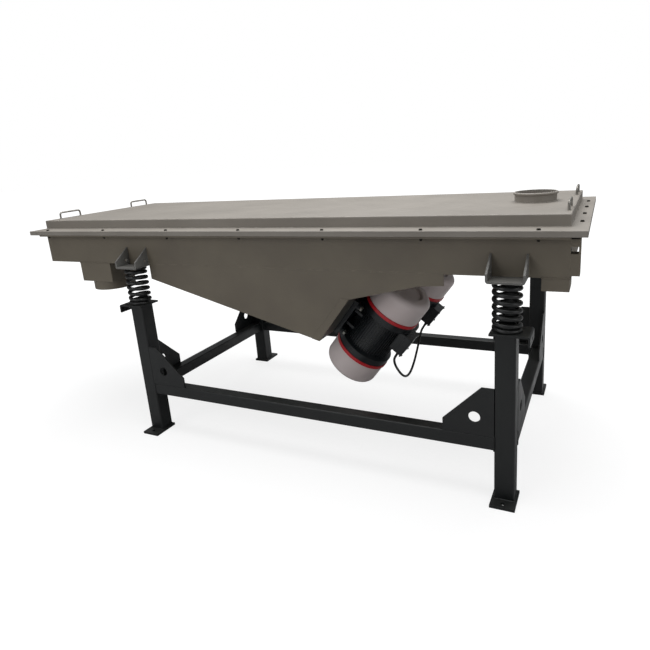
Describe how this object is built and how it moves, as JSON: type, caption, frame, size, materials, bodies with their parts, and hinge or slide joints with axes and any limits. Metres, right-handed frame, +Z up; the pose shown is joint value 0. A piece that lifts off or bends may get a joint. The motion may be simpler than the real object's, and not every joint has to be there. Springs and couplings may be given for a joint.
{
  "type": "vibrating sieve",
  "caption": "Linear vibrating sieve: long lidded screen box on coil springs and a square-tube stand, with tilted vibration motors slung under it, a feed pipe and drop chutes.",
  "frame": {"origin": "on the floor under the middle of the whole machine's outline", "axes": "+X towards the feed end, -X towards the discharge end; +Y towards the rear side, -Y towards the side with the overs spout; +Z up"},
  "size_m": [2.88, 1.234, 1.197],
  "materials": {
    "frame_paint": "satin black enamel on mild steel",
    "spring_steel": "black powder coat on spring steel",
    "box_paint": "warm grey satin paint on folded steel plate",
    "beam_paint": "dark grey satin paint on mild steel",
    "bracket_paint": "mid grey satin paint on mild steel",
    "mesh_steel": "woven stainless screen cloth",
    "gasket_rubber": "black sealing rubber",
    "cover_paint": "warm grey satin paint on pressed steel sheet",
    "motor_paint": "blue-black semi-gloss enamel on cast iron",
    "ring_paint": "red enamel on steel",
    "cap_paint": "off-white enamel on pressed steel",
    "shaft_steel": "ground steel",
    "weight_steel": "oiled cast iron",
    "gland_plastic": "black polyamide",
    "zinc_steel": "zinc-plated bolts",
    "handle_steel": "bent steel rod",
    "cable_rubber": "black rubber-sheathed cable"
  },
  "bodies": {
    "stand": {"leg_front_right": "frame_paint", "leg_front_left": "frame_paint", "leg_rear_right": "frame_paint", "leg_rear_left": "frame_paint", "foot_plate_front_right": "frame_paint", "foot_plate_front_left": "frame_paint", "foot_plate_rear_right": "frame_paint", "foot_plate_rear_left": "frame_paint", "rail_front": "frame_paint", "rail_rear": "frame_paint", "rail_right": "frame_paint", "rail_left": "frame_paint", "gussets_front_right": "frame_paint", "gussets_front_left": "frame_paint", "gussets_rear_right": "frame_paint", "gussets_rear_left": "frame_paint", "spring_seat_front_right": "frame_paint", "spring_seat_front_left": "frame_paint", "spring_seat_rear_right": "frame_paint", "spring_seat_rear_left": "frame_paint", "spring_front_right": "spring_steel", "spring_front_left": "spring_steel", "spring_rear_right": "spring_steel", "spring_rear_left": "spring_steel"},
    "screen_box": {"spring_bracket_front_right": "bracket_paint", "spring_bracket_front_left": "bracket_paint", "spring_bracket_rear_right": "bracket_paint", "spring_bracket_rear_left": "bracket_paint", "trough": "box_paint", "rim_bars": "box_paint", "inner_plates": "box_paint", "overs_chute": "box_paint", "fines_chute": "box_paint", "cleanout_pocket": "box_paint", "lifting_lugs": "box_paint", "wing_front": "box_paint", "wing_rear": "box_paint", "deck_frame": "box_paint", "motor_beam": "beam_paint", "deck_mesh": "mesh_steel", "cover_gasket": "gasket_rubber", "foot_bolts": "zinc_steel", "motor_cable": "cable_rubber", "front_motor_housing": "motor_paint", "front_motor_rings": "ring_paint", "front_motor_caps": "cap_paint", "front_terminal_box": "motor_paint", "rear_motor_housing": "motor_paint", "rear_motor_rings": "ring_paint", "rear_motor_caps": "cap_paint", "rear_terminal_box": "motor_paint", "cable_glands": "gland_plastic"},
    "cover": {"cover_pan": "cover_paint", "inlet_collar": "cover_paint", "cover_handles": "handle_steel"},
    "front_rotor": {"front_motor_shaft": "shaft_steel", "front_motor_weights": "weight_steel"},
    "rear_rotor": {"rear_motor_shaft": "shaft_steel", "rear_motor_weights": "weight_steel"}
  },
  "joints": [
    {"name": "throw", "type": "slide", "parent": "stand", "child": "screen_box", "axis": [-0.788, 0, 0.6157], "range_m": [-0.005, 0.005], "stiffness_N_per_m": 780000, "springref_m": 0.0055, "deforming": ["spring_front_right", "spring_front_left", "spring_rear_right", "spring_rear_left"]},
    {"name": "cover_lift", "type": "slide", "parent": "screen_box", "child": "cover", "axis": [0, 0, 1], "range_m": [0, 0.3]},
    {"name": "front_rotor_spin", "type": "hinge", "parent": "screen_box", "child": "front_rotor", "pos_m": [0.5215, -0.23, 0.5893], "axis": [0.6157, 0, 0.788], "continuous": true},
    {"name": "rear_rotor_spin", "type": "hinge", "parent": "screen_box", "child": "rear_rotor", "pos_m": [0.5215, 0.23, 0.5893], "axis": [0.6157, 0, 0.788], "continuous": true}
  ]
}
